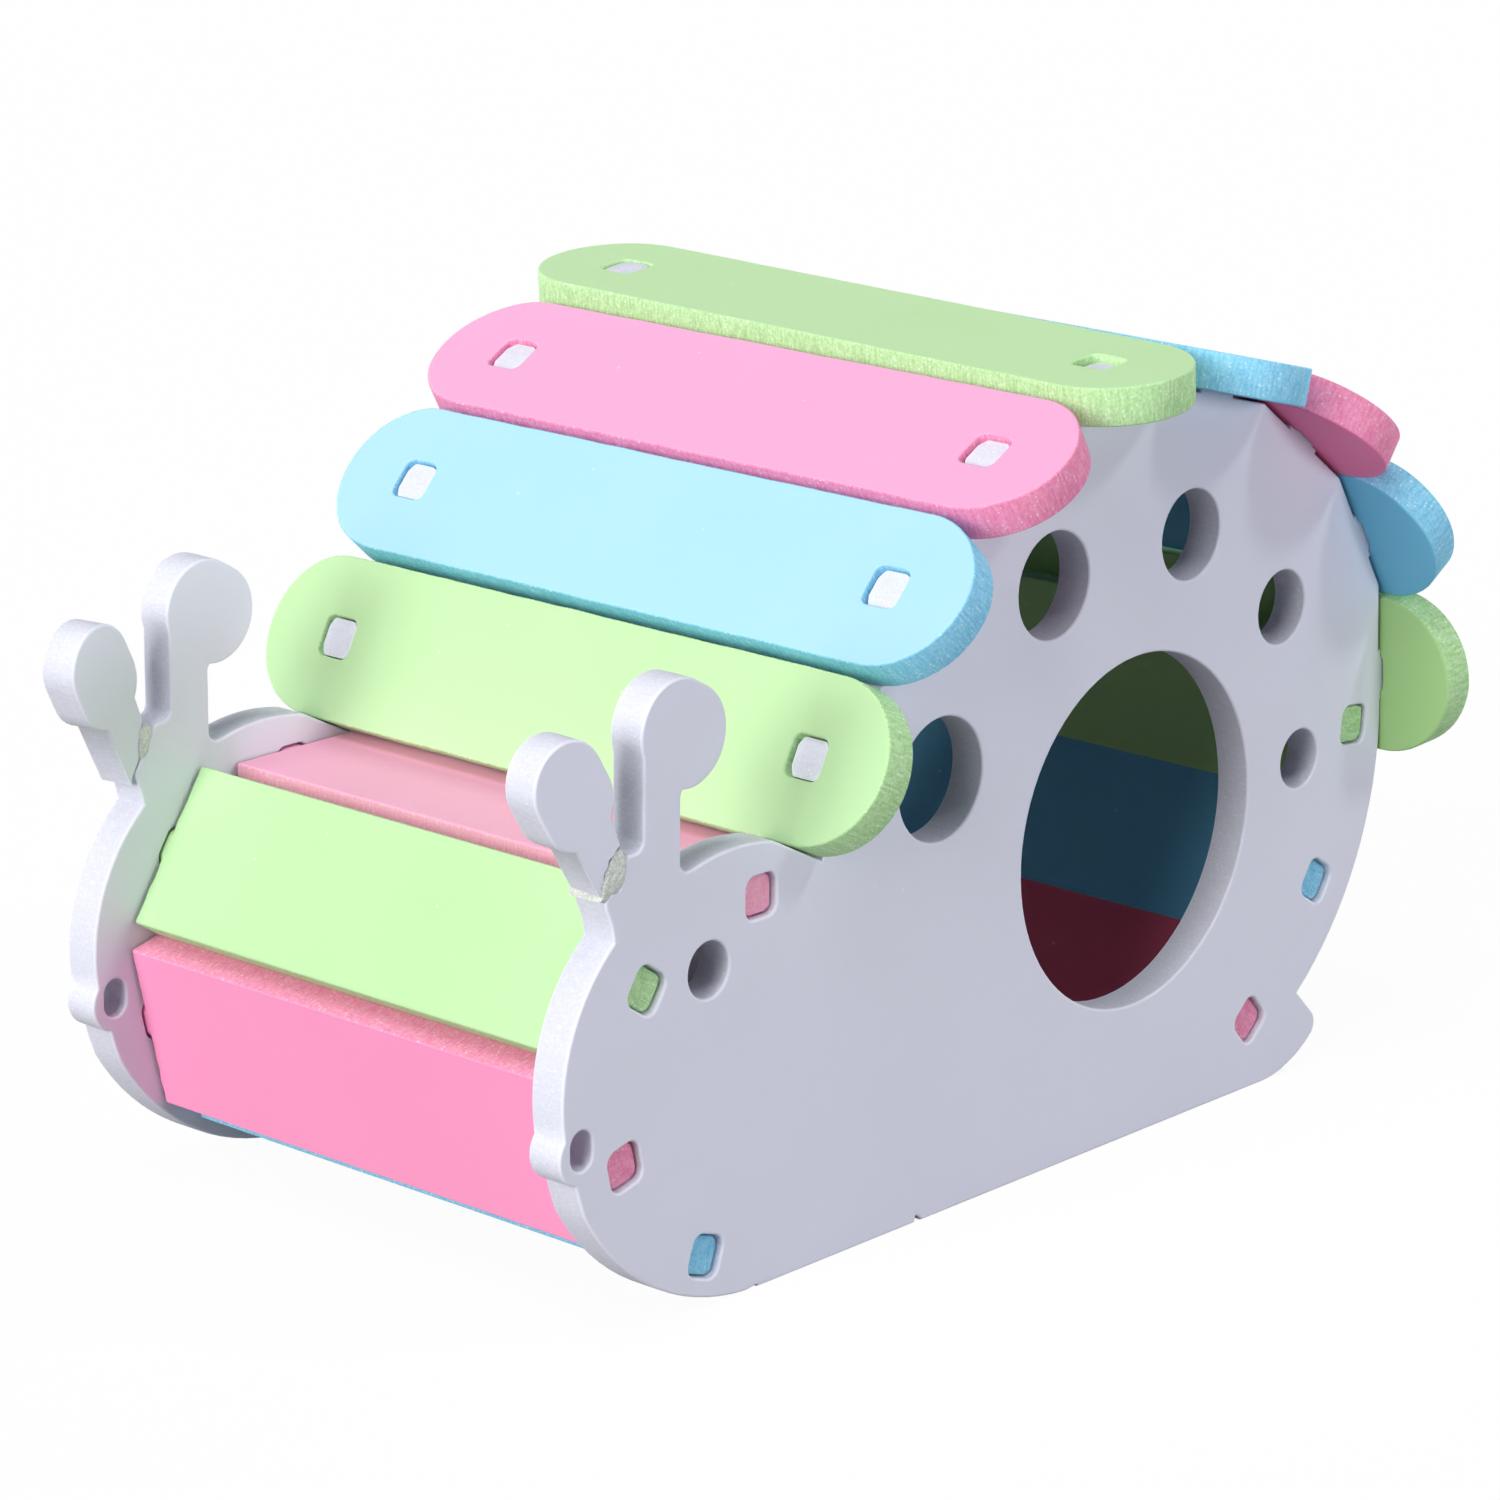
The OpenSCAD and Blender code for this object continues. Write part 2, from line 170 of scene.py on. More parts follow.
# Broken front antennae, as (x, z) in millimetres: the head's edge of the crack from the valley down, the torn
# edge of the antenna from its foot up, and the crumbs in the crack. The antenna hangs on, twisted and leaning
# by degrees, and moved by millimetres.
VALLEY = (-68.62, 59.36)
FOREHEAD = (-71.0, 49.38)
ANTENNA_FROM = 61.0 * MM
breaks = {
    "near": {
        "head": [
            (-69.0, 58.8), (-69.18, 57.6), (-69.38, 56.45), (-69.95, 55.75), (-70.6, 55.35), (-71.35, 55.35),
            (-72.05, 54.95), (-72.55, 54.5), (-72.3, 53.6), (-71.95, 52.9), (-71.3, 51.3),
        ],
        "antenna": [
            (-73.9, 54.75), (-73.85, 55.6), (-74.0, 56.5), (-73.55, 57.2), (-73.45, 58.0), (-72.8, 58.8),
            (-72.6, 59.5), (-71.8, 59.9), (-71.3, 60.5), (-70.8, 60.9),
        ],
        "crumbs": [
            (-73.2, 55.0), (-72.3, 55.05), (-71.45, 55.5), (-70.6, 55.45), (-70.0, 55.85), (-69.45, 56.5),
            (-69.25, 57.6), (-69.15, 58.9), (-69.5, 59.8), (-69.95, 60.35), (-70.9, 59.8), (-71.6, 58.9),
            (-72.3, 57.8), (-72.8, 56.6),
        ],
        "twist": -3.0,
        "lean": -2.0,
        "moved": (1.1, 0.0, 0.0),
    },
    "far": {
        "head": [
            (-69.3, 58.9), (-69.5, 58.2), (-70.0, 57.3), (-70.3, 56.25), (-71.0, 55.5), (-71.7, 54.4),
            (-72.3, 53.7), (-72.2, 53.0), (-71.5, 51.4),
        ],
        "antenna": [
            (-73.2, 53.5), (-73.0, 54.6), (-72.2, 55.7), (-71.6, 56.7), (-71.7, 57.5), (-71.65, 58.5),
            (-71.4, 59.9), (-70.95, 60.8), (-70.8, 61.5),
        ],
        "crumbs": [
            (-71.1, 55.6), (-70.4, 56.2), (-70.1, 57.3), (-69.6, 58.4), (-69.75, 59.3), (-70.3, 59.4),
            (-71.0, 58.7), (-71.2, 57.3), (-71.15, 56.3),
        ],
        "twist": 9.5,
        "lean": 0.0,
        "moved": (0.0, 0.0, -1.2),
    },
}

# Torn crumbs: spacing, place in their cell, distance from the rim, overlap with the boards beside them, bulge
# and its spread, how far under the face they start, and seed
CRUMB = 0.55 * MM
CRUMB_PLACE = (0.2, 0.8)
CRUMB_CLEAR = 0.4 * CRUMB
CRUMB_OVERLAP = 0.2 * MM
CRUMB_BULGE = 0.35 * MM
CRUMB_SPREAD = (0.3, 1.0)
CRUMB_SUNK = 0.4 * CRUMB_BULGE
CRUMB_SEED = 5

# Finishes: reflection, clouding of the front skin and of the underside skin, whose darker, deeper colour is
# painted shade, and strength and depth of their relief
SPECULAR = 0.12
SKIN_CLOUDING = 0.4
SHADED_BACK_CLOUDING = 0.05
SKIN_RELIEF = (0.12, 0.05 * MM)
CUT_RELIEF = (0.5, 0.12 * MM)
CRUMB_RELIEF = (0.8, 0.3 * MM)

# Width of the soft border of the floor that the object covers
COVER_EDGE = 6.0 * MM

# Camera at the photograph's viewing angle
CAMERA_AT = (-0.50995, -0.45581, 0.24738)
CAMERA_YAW = -48.18
CAMERA_DOWN = 16.17
CAMERA_ROLL = 0.45
CAMERA_LENS = 132.86
SENSOR = 36.0


def srgb(r, g, b):
    """Linear colour of 8-bit display values."""
    linear = []
    for v in (r / 255, g / 255, b / 255):
        linear.append(v / 12.92 if v <= 0.04045 else ((v + 0.055) / 1.055) ** 2.4)
    return (*linear, 1.0)


def link_object(name, data):
    made = bpy.data.objects.new(name, data)
    bpy.context.scene.collection.objects.link(made)
    return made


# Camera, lamps and floor

def add_camera():
    camera = link_object("camera", bpy.data.cameras.new("camera"))
    camera.data.lens = CAMERA_LENS
    camera.data.sensor_width = SENSOR
    turn = Matrix.Rotation(math.radians(CAMERA_YAW), 4, "Z")
    tip = Matrix.Rotation(math.radians(90 - CAMERA_DOWN), 4, "X")
    roll = Matrix.Rotation(math.radians(CAMERA_ROLL), 4, "Z")
    camera.matrix_world = Matrix.Translation(CAMERA_AT) @ turn @ tip @ roll
    bpy.context.scene.camera = camera


def add_sun(name, direction, strength, spread, colour):
    """Soft lamp that shines along the direction."""
    lamp = bpy.data.lights.new(name, "SUN")
    lamp.energy = strength
    lamp.angle = math.radians(spread)
    lamp.color = colour
    sun = link_object(name, lamp)
    sun.rotation_euler = Vector(direction).to_track_quat("-Z", "Y").to_euler()


def seen_directly(tree):
    """Mask that is 1 for camera, glossy and transmission rays."""
    path = tree.nodes.new("ShaderNodeLightPath")
    last = path.outputs["Is Camera Ray"]
    for ray in ("Is Glossy Ray", "Is Transmission Ray"):
        either = tree.nodes.new("ShaderNodeMath")
        either.operation = "MAXIMUM"
        tree.links.new(last, either.inputs[0])
        tree.links.new(path.outputs[ray], either.inputs[1])
        last = either.outputs[0]
    return last


def add_world(overhead):
    """Soft light from above that fades out towards the sides, seen as plain white."""
    world = bpy.data.worlds.new("studio")
    bpy.context.scene.world = world
    world.use_nodes = True
    tree = world.node_tree
    tree.nodes.clear()
    direction = tree.nodes.new("ShaderNodeTexCoord")
    split = tree.nodes.new("ShaderNodeSeparateXYZ")
    tree.links.new(direction.outputs["Generated"], split.inputs[0])
    soft = tree.nodes.new("ShaderNodeBackground")
    soft.inputs["Color"].default_value = (0.96, 0.97, 1.0, 1)
    strength = maths(tree, "MULTIPLY", split.outputs["Z"], overhead)
    strength = maths(tree, "MAXIMUM", strength, 0.0)
    tree.links.new(strength, soft.inputs["Strength"])
    white = tree.nodes.new("ShaderNodeBackground")
    white.inputs["Color"].default_value = (1, 1, 1, 1)
    mix = tree.nodes.new("ShaderNodeMixShader")
    out = tree.nodes.new("ShaderNodeOutputWorld")
    tree.links.new(seen_directly(tree), mix.inputs["Fac"])
    tree.links.new(soft.outputs[0], mix.inputs[1])
    tree.links.new(white.outputs[0], mix.inputs[2])
    tree.links.new(mix.outputs[0], out.inputs["Surface"])


def add_floor(half, bounce, whiteness, covered):
    """Floor that is seen as white paper with the object's shadow, and sends up the bounce share of its light.

    Whiteness is the share of plain white that is seen over its shading. There is none of it on the part that
    the object covers, given as a middle and two half sizes.
    """
    mesh = bpy.data.meshes.new("floor")
    corners = [(-half, -half, 0), (half, -half, 0), (half, half, 0), (-half, half, 0)]
    mesh.from_pydata(corners, [], [(0, 1, 2, 3)])
    floor = link_object("floor", mesh)
    paper = bpy.data.materials.new("white_paper")
    paper.use_nodes = True
    tree = paper.node_tree
    tree.nodes.clear()
    place = tree.nodes.new("ShaderNodeTexCoord")
    at = add_node(tree, "ShaderNodeSeparateXYZ", [(place.outputs["Object"], 0)])
    middle, half_x, half_y = covered
    past = []
    for axis, centre, reach in (("X", middle, half_x), ("Y", 0.0, half_y)):
        away = maths(tree, "ABSOLUTE", maths(tree, "SUBTRACT", at.outputs[axis], centre), 0.0)
        past.append(maths(tree, "SUBTRACT", away, reach))
    outside = remap(tree, maths(tree, "MAXIMUM", *past), -COVER_EDGE, 0.0, 0.0, whiteness)
    dim = add_node(tree, "ShaderNodeBsdfDiffuse", Color=(bounce, bounce, bounce, 1))
    bright = add_node(tree, "ShaderNodeBsdfDiffuse", Color=(1, 1, 1, 1))
    white = add_node(tree, "ShaderNodeEmission", Strength=1.0)
    seen = add_node(
        tree, "ShaderNodeMixShader", [(outside, "Fac"), (bright.outputs[0], 1), (white.outputs[0], 2)]
    )
    either = add_node(
        tree, "ShaderNodeMixShader",
        [(seen_directly(tree), "Fac"), (dim.outputs[0], 1), (seen.outputs[0], 2)],
    )
    add_node(tree, "ShaderNodeOutputMaterial", [(either.outputs[0], "Surface")])
    mesh.materials.append(paper)


def covered_floor():
    """Middle and half sizes of the floor under the object, from behind the front floor slat to the rear."""
    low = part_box("front_floor_slat")[1][0] + COVER_EDGE
    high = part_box("rear_lower_slat")[1][0]
    return (low + high) / 2, (high - low) / 2, CLEAR_WIDTH / 2 + PANEL_T


# Finishes

def new_group(name, inputs, outputs):
    """Shader node group with its named sockets, and its input and output nodes."""
    group = bpy.data.node_groups.new(name, "ShaderNodeTree")
    for socket, kind, value in inputs:
        made = group.interface.new_socket(socket, in_out="INPUT", socket_type=kind)
        if value is not None:
            made.default_value = value
    for socket, kind in outputs:
        group.interface.new_socket(socket, in_out="OUTPUT", socket_type=kind)
    return group, group.nodes.new("NodeGroupInput"), group.nodes.new("NodeGroupOutput")


def add_node(tree, kind, links=(), **values):
    """Node with socket values set by name, and links given as (output socket, input name or index)."""
    node = tree.nodes.new(kind)
    for key, value in values.items():
        if hasattr(node, key):
            setattr(node, key, value)
        else:
            node.inputs[key.replace("_", " ")].default_value = value
    for source, target in links:
        tree.links.new(source, node.inputs[target])
    return node


def noise(tree, vector, scale, detail=2.0, roughness=0.5):
    return add_node(
        tree, "ShaderNodeTexNoise", [(vector, "Vector")], Scale=scale, Detail=detail, Roughness=roughness
    )


def remap(tree, value, low, high, to_low, to_high):
    node = add_node(tree, "ShaderNodeMapRange", [(value, "Value")], clamp=True)
    node.inputs["From Min"].default_value = low
    node.inputs["From Max"].default_value = high
    node.inputs["To Min"].default_value = to_low
    node.inputs["To Max"].default_value = to_high
    return node.outputs["Result"]


def tint(tree, factor, a, b, blend="MIX"):
    """Colour mix; a and b are sockets or colours, factor a socket or number."""
    node = tree.nodes.new("ShaderNodeMix")
    node.data_type = "RGBA"
    node.blend_type = blend
    for socket, value in ((node.inputs[0], factor), (node.inputs[6], a), (node.inputs[7], b)):
        if isinstance(value, bpy.types.NodeSocket):
            tree.links.new(value, socket)
        else:
            socket.default_value = value
    return node.outputs[2]


def maths(tree, operation, a, b):
    node = tree.nodes.new("ShaderNodeMath")
    node.operation = operation
    for socket, value in ((node.inputs[0], a), (node.inputs[1], b)):
        if isinstance(value, bpy.types.NodeSocket):
            tree.links.new(value, socket)
        else:
            socket.default_value = value
    return node.outputs[0]


def board_skin_group():
    """Smooth rolled skin of foam board: faint clouding, fine orange peel and a few specks."""
    group, given, out = new_group(
        "board_skin",
        [
            ("Vector", "NodeSocketVector", None),
            ("Colour", "NodeSocketColor", None),
            ("Cloud Colour", "NodeSocketColor", None),
            ("Clouding", "NodeSocketFloat", 0.3),
            ("Roughness", "NodeSocketFloat", 0.45),
        ],
        [("Colour", "NodeSocketColor"), ("Roughness", "NodeSocketFloat"), ("Height", "NodeSocketFloat")],
    )
    place = given.outputs["Vector"]
    cloud = noise(group, place, 45, detail=3)
    peel = noise(group, place, 1400, detail=2)
    speck = add_node(group, "ShaderNodeTexVoronoi", [(place, "Vector")], Scale=170)
    mask = remap(group, cloud.outputs["Fac"], 0.35, 0.7, 0, 1)
    share = maths(group, "MULTIPLY", mask, given.outputs["Clouding"])
    colour = tint(group, share, given.outputs["Colour"], given.outputs["Cloud Colour"])
    dot = remap(group, speck.outputs["Distance"], 0.03, 0.06, 1, 0)
    rare = noise(group, place, 60, detail=0)
    dot = maths(group, "MULTIPLY", dot, remap(group, rare.outputs["Fac"], 0.62, 0.66, 0, 0.35))
    colour = tint(group, dot, colour, (1, 1, 1, 1))
    rough = remap(group, peel.outputs["Fac"], 0.3, 0.7, -0.05, 0.05)
    rough = maths(group, "ADD", rough, given.outputs["Roughness"])
    group.links.new(colour, out.inputs["Colour"])
    group.links.new(rough, out.inputs["Roughness"])
    group.links.new(peel.outputs["Fac"], out.inputs["Height"])
    return group


def foam_cut_group():
    """Cut edge of foam board: fine cells and strokes through the thickness, darker where the relief is low,
    which is painted shade in its pits, and bright dots on the cells, which are painted glints of light.
    """
    group, given, out = new_group(
        "foam_cut",
        [
            ("Vector", "NodeSocketVector", None),
            ("Colour", "NodeSocketColor", None),
            ("Deep Colour", "NodeSocketColor", None),
            ("Glint Colour", "NodeSocketColor", None),
            ("Strokes", "NodeSocketFloat", 0.5),
        ],
        [("Colour", "NodeSocketColor"), ("Roughness", "NodeSocketFloat"), ("Height", "NodeSocketFloat")],
    )
    place = given.outputs["Vector"]
    along = add_node(group, "ShaderNodeMapping", [(place, "Vector")])
    along.inputs["Scale"].default_value = (1, 1, 0.18)
    strokes = noise(group, along.outputs["Vector"], 2800, detail=3)
    grain = noise(group, place, 2600, detail=3)
    cells = add_node(group, "ShaderNodeTexVoronoi", [(place, "Vector")], Scale=1900)
    stroke = maths(group, "MULTIPLY", strokes.outputs["Fac"], given.outputs["Strokes"])
    rest = maths(group, "SUBTRACT", 1.0, given.outputs["Strokes"])
    height = maths(group, "ADD", stroke, maths(group, "MULTIPLY", grain.outputs["Fac"], rest))
    # Darker where the relief is low: painted shade in the pits and grooves of the cut
    deep = remap(group, height, 0.32, 0.68, 1, 0)
    colour = tint(group, deep, given.outputs["Colour"], given.outputs["Deep Colour"])
    # Bright dots on the cells, in patches along the strokes: painted glints of light
    speck = remap(group, cells.outputs["Distance"], 0.16, 0.3, 1, 0)
    patch = remap(group, strokes.outputs["Fac"], 0.45, 0.6, 0, 0.85)
    colour = tint(group, maths(group, "MULTIPLY", speck, patch), colour, given.outputs["Glint Colour"])
    group.links.new(colour, out.inputs["Colour"])
    group.links.new(remap(group, height, 0.4, 0.9, 0.75, 0.5), out.inputs["Roughness"])
    group.links.new(height, out.inputs["Height"])
    return group


def finish_material(name, group, relief, values):
    """Material that shades the group's colour, roughness and height on the board's own coordinates."""
    material = bpy.data.materials.new(name)
    material.use_nodes = True
    tree = material.node_tree
    shader = tree.nodes["Principled BSDF"]
    shader.inputs["Specular IOR Level"].default_value = SPECULAR
    place = add_node(tree, "ShaderNodeAttribute", attribute_name="board")
    made = add_node(tree, "ShaderNodeGroup", node_tree=group)
    tree.links.new(place.outputs["Vector"], made.inputs["Vector"])
    for socket, value in values.items():
        made.inputs[socket].default_value = value
    bump = tree.nodes.new("ShaderNodeBump")
    bump.inputs["Strength"].default_value, bump.inputs["Distance"].default_value = relief
    tree.links.new(made.outputs["Height"], bump.inputs["Height"])
    tree.links.new(made.outputs["Colour"], shader.inputs["Base Color"])
    tree.links.new(made.outputs["Roughness"], shader.inputs["Roughness"])
    tree.links.new(bump.outputs["Normal"], shader.inputs["Normal"])
    return material


board_skin = board_skin_group()
foam_cut = foam_cut_group()


def board_finish(name, skin, cloud, shaded_back, cut, deep, glint, strokes):
    """Skin, cut-edge and underside materials of one colour of board. The underside is a darker, deeper copy of
    the skin colour: painted shade on the faces that look down or into the hideout.
    """
    skin_values = {"Colour": skin, "Cloud Colour": cloud, "Clouding": SKIN_CLOUDING}
    shaded_back_values = {"Colour": shaded_back, "Cloud Colour": cloud, "Clouding": SHADED_BACK_CLOUDING}
    # The cut's pit colour is painted shade, and its glint colour is painted highlights
    cut_values = {"Colour": cut, "Deep Colour": deep, "Glint Colour": glint, "Strokes": strokes}
    return (
        finish_material(name + "_skin", board_skin, SKIN_RELIEF, skin_values),
        finish_material(name + "_cut", foam_cut, CUT_RELIEF, cut_values),
        finish_material(name + "_back", board_skin, SKIN_RELIEF, shaded_back_values),
    )


# Colours of each board: skin, clouding, underside (a darker, deeper copy of the skin that is painted shade),
# cut edge, the cut's pits (painted shade), the cut's glints (painted highlights), and the share of strokes
finishes = {
    "white_board": board_finish(
        "white_board", srgb(235, 236, 250), srgb(230, 231, 245), srgb(235, 236, 250),
        srgb(229, 231, 244), srgb(217, 219, 233), srgb(243, 244, 252), 0.3,
    ),
    "green_board": board_finish(
        "green_board", srgb(192, 230, 175), srgb(186, 226, 168), srgb(176, 220, 147),
        srgb(208, 246, 191), srgb(162, 208, 140), srgb(248, 255, 242), 0.5,
    ),
    "blue_board": board_finish(
        "blue_board", srgb(173, 220, 235), srgb(166, 215, 233), srgb(115, 193, 228),
        srgb(166, 228, 252), srgb(116, 194, 232), srgb(232, 250, 255), 0.5,
    ),
    "pink_board": board_finish(
        "pink_board", srgb(237, 172, 211), srgb(236, 167, 207), srgb(240, 126, 174),
        srgb(252, 172, 206), srgb(236, 122, 166), srgb(255, 230, 242), 0.5,
    ),
    "deep_pink_board": board_finish(
        "deep_pink_board", srgb(255, 160, 203), srgb(255, 156, 199), srgb(236, 104, 134),
        srgb(253, 176, 206), srgb(236, 128, 168), srgb(255, 226, 238), 0.4,
    ),
    # Lighter, warmer copy of the pink board for the neck: painted light and painted bounce light from its
    # neighbours
    "warm_pink_board": board_finish(
        "warm_pink_board", srgb(255, 183, 215), srgb(255, 179, 211), srgb(248, 130, 180),
        srgb(255, 194, 214), srgb(252, 160, 190), srgb(255, 230, 240), 0.3,
    ),
}

# Pink slats of another shade than their neighbours: the chin and the rear lower slat are a deeper pink, and
# the neck's lighter, warmer pink is painted light and painted bounce light
own_shade = {
    "chin_slat": "deep_pink_board",
    "neck_slat": "warm_pink_board",
    "rear_lower_slat": "deep_pink_board",
}

# Crumbs take the cut-edge finish: darker in the low parts of their relief, which is painted shade, with
# painted glints
crumb_values = {
    "Colour": srgb(240, 243, 236),
    "Deep Colour": srgb(204, 209, 199),
    "Glint Colour": srgb(250, 252, 248),
    "Strokes": 0.0,
}
crumb_finish = finish_material("torn_crumbs", foam_cut, CRUMB_RELIEF, crumb_values)


# Boards

def keep_board_coordinates(mesh):
    """Stores the coordinates of the flat board, which the finishes follow."""
    layer = mesh.attributes.new("board", "FLOAT_VECTOR", "POINT")
    flat = [c for v in mesh.vertices for c in v.co]
    layer.data.foreach_set("vector", flat)


def smooth_cuts(mesh):
    """Flat skins and smooth curved cuts: flat are the faces that look along the board's thickness."""
    mesh.set_sharp_from_angle(angle=SHARP_FROM)
    for face in mesh.polygons:
        face.use_smooth = abs(face.normal.z) < FLAT_SKIN


def place_piece(piece, node):
    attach(piece, "root")
    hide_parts(node)


def board_axes(node):
    """Place and size of a slat's solid: matrix from flat board to object, and width, length and thickness.

    The board's faces are the largest ones that run along Y, and its normal is the one that looks up.
    """
    mesh = nodes[node].data
    area = {}
    for face in mesh.polygons:
        n = face.normal
        if abs(n.y) < 0.01:
            if n.z < 0 or (abs(n.z) < 1e-3 and n.x < 0):
                n = -n
            key = (round(n.x, 3), round(n.z, 3))
            total, total_normal = area.get(key, (0.0, Vector()))
            area[key] = (total + face.area, total_normal + n * face.area)
    normal = max(area.values(), key=lambda entry: entry[0])[1].normalized()
    length_axis = Vector((0, 1, 0))
    width_axis = length_axis.cross(normal)
    axes = (width_axis, length_axis, normal)
    spans = []
    for axis in axes:
        reach = [v.co.dot(axis) for v in mesh.vertices]
        spans.append((min(reach), max(reach)))
    middle = sum(((a + b) / 2 * axis for (a, b), axis in zip(spans, axes)), Vector())
    place = Matrix((width_axis, length_axis, normal)).transposed().to_4x4()
    place.translation = middle
    return place, [b - a for a, b in spans]


def slat_tree(name, sizes):
    """Geometry node tree with size inputs and the three finishes; returns it with its ends."""
    tree = bpy.data.node_groups.new(name, "GeometryNodeTree")
    tree.interface.new_socket("Slat", in_out="OUTPUT", socket_type="NodeSocketGeometry")
    for size in sizes:
        tree.interface.new_socket(size, in_out="INPUT", socket_type="NodeSocketFloat")
    for finish in ("Skin", "Cut", "Under"):
        tree.interface.new_socket(finish, in_out="INPUT", socket_type="NodeSocketMaterial")
    return tree, tree.nodes.new("NodeGroupInput"), tree.nodes.new("NodeGroupOutput")


def finish_slat(tree, given, out, solid):
    """Realizes the slat and gives its upper faces and its cut edges their finishes, and its under faces the
    darker, deeper copy of the skin colour that is painted shade.
    """
    real = add_node(tree, "GeometryNodeRealizeInstances", [(solid, "Geometry")])
    skin = add_node(
        tree, "GeometryNodeSetMaterial",
        [(real.outputs["Geometry"], "Geometry"), (given.outputs["Skin"], "Material")],
    )
    normal = tree.nodes.new("GeometryNodeInputNormal")
    split = add_node(tree, "ShaderNodeSeparateXYZ", [(normal.outputs["Normal"], 0)])
    height = maths(tree, "ABSOLUTE", split.outputs["Z"], 0.0)
    edge = maths(tree, "LESS_THAN", height, CUT_EDGE)
    cut = add_node(
        tree, "GeometryNodeSetMaterial",
        [(skin.outputs["Geometry"], "Geometry"), (edge, "Selection"), (given.outputs["Cut"], "Material")],
    )
    # Faces that look down take the darker copy of the skin colour: painted shade
    down = maths(tree, "LESS_THAN", split.outputs["Z"], -CUT_EDGE)
    under = add_node(
        tree, "GeometryNodeSetMaterial",
        [(cut.outputs["Geometry"], "Geometry"), (down, "Selection"), (given.outputs["Under"], "Material")],
    )
    tree.links.new(under.outputs["Geometry"], out.inputs["Slat"])


def vector(tree, x=0.0, y=0.0, z=0.0):
    node = tree.nodes.new("ShaderNodeCombineXYZ")
    for socket, value in zip(node.inputs, (x, y, z)):
        if isinstance(value, bpy.types.NodeSocket):
            tree.links.new(value, socket)
        else:
            socket.default_value = value
    return node.outputs[0]


def rounded_outline(tree, width, height, radius, steps):
    """Rectangle curve with round corners."""
    sheet = add_node(
        tree, "GeometryNodeCurvePrimitiveQuadrilateral", [(width, "Width"), (height, "Height")]
    )
    corners = add_node(
        tree, "GeometryNodeFilletCurve", [(sheet.outputs["Curve"], "Curve"), (radius, "Radius")]
    )
    corners.mode = "POLY"
    corners.inputs["Count"].default_value = steps
    corners.inputs["Limit Radius"].default_value = True
    return corners.outputs["Curve"]


def uneven(tree, curve, wander, seed):
    """Curve whose points wander a little, as a knife does."""
    fine = add_node(tree, "GeometryNodeResampleCurve", [(curve, "Curve")])
    fine.mode = "LENGTH"
    fine.inputs["Length"].default_value = OUTLINE_STEP
    position = tree.nodes.new("GeometryNodeInputPosition")
    place = add_node(tree, "ShaderNodeVectorMath", [(position.outputs[0], 0), (vector(tree, z=seed), 1)])
    rough = noise(tree, place.outputs[0], OUTLINE_NOISE, detail=2)
    shift = add_node(tree, "ShaderNodeSeparateXYZ", [(rough.outputs["Color"], 0)])
    sides = []
    for axis in ("X", "Y"):
        sides.append(maths(tree, "MULTIPLY", maths(tree, "SUBTRACT", shift.outputs[axis], 0.5), wander))
    moved = add_node(tree, "GeometryNodeSetPosition", [(fine.outputs["Curve"], "Geometry")])
    tree.links.new(vector(tree, *sides), moved.inputs["Offset"])
    return moved.outputs["Geometry"]


def thicken(tree, sheet, thickness):
    """Closed board of the thickness round a flat sheet."""
    half = maths(tree, "MULTIPLY", thickness, -0.5)
    low = add_node(tree, "GeometryNodeTransform", [(sheet, "Geometry")])
    tree.links.new(vector(tree, z=half), low.inputs["Translation"])
    raised = add_node(tree, "GeometryNodeExtrudeMesh", [(low.outputs["Geometry"], "Mesh")])
    raised.inputs["Individual"].default_value = False
    raised.inputs["Offset"].default_value = (0, 0, 1)
    tree.links.new(thickness, raised.inputs["Offset Scale"])
    under = add_node(tree, "GeometryNodeFlipFaces", [(low.outputs["Geometry"], "Mesh")])
    both = tree.nodes.new("GeometryNodeJoinGeometry")
    tree.links.new(raised.outputs["Mesh"], both.inputs[0])
    tree.links.new(under.outputs["Mesh"], both.inputs[0])
    closed = add_node(tree, "GeometryNodeMergeByDistance", [(both.outputs[0], "Geometry")])
    closed.inputs["Distance"].default_value = SAME_POINT
    return closed.outputs["Geometry"]


def round_ended_slat_tree():
    """Board with round ends and a slot near each end, lying flat round the origin."""
    tree, given, out = slat_tree(
        "round_ended_slat",
        (
            "Width", "Length", "Thickness", "Slot Width", "Slot Corner", "Slot Spacing", "Slide",
            "Wander", "Seed",
        ),
    )
    size = given.outputs
    end_r = maths(tree, "MULTIPLY", size["Width"], 0.5)
    outline = rounded_outline(tree, size["Width"], size["Length"], end_r, ROUND_END_STEPS)
    outline = uneven(tree, outline, size["Wander"], size["Seed"])
    across = size["Slot Width"]
    slot = rounded_outline(tree, across, across, size["Slot Corner"], SLOT_CORNER_STEPS)
    join = tree.nodes.new("GeometryNodeJoinGeometry")
    slid = add_node(tree, "GeometryNodeTransform", [(outline, "Geometry")])
    tree.links.new(vector(tree, y=size["Slide"]), slid.inputs["Translation"])
    tree.links.new(slid.outputs["Geometry"], join.inputs[0])
    for side in (-0.5, 0.5):
        reach = maths(tree, "MULTIPLY", size["Slot Spacing"], side)
        moved = add_node(tree, "GeometryNodeTransform", [(slot, "Geometry")])
        tree.links.new(vector(tree, y=reach), moved.inputs["Translation"])
        tree.links.new(moved.outputs["Geometry"], join.inputs[0])
    fill = add_node(tree, "GeometryNodeFillCurve", [(join.outputs[0], "Curve")])
    finish_slat(tree, given, out, thicken(tree, fill.outputs["Mesh"], size["Thickness"]))
    return tree


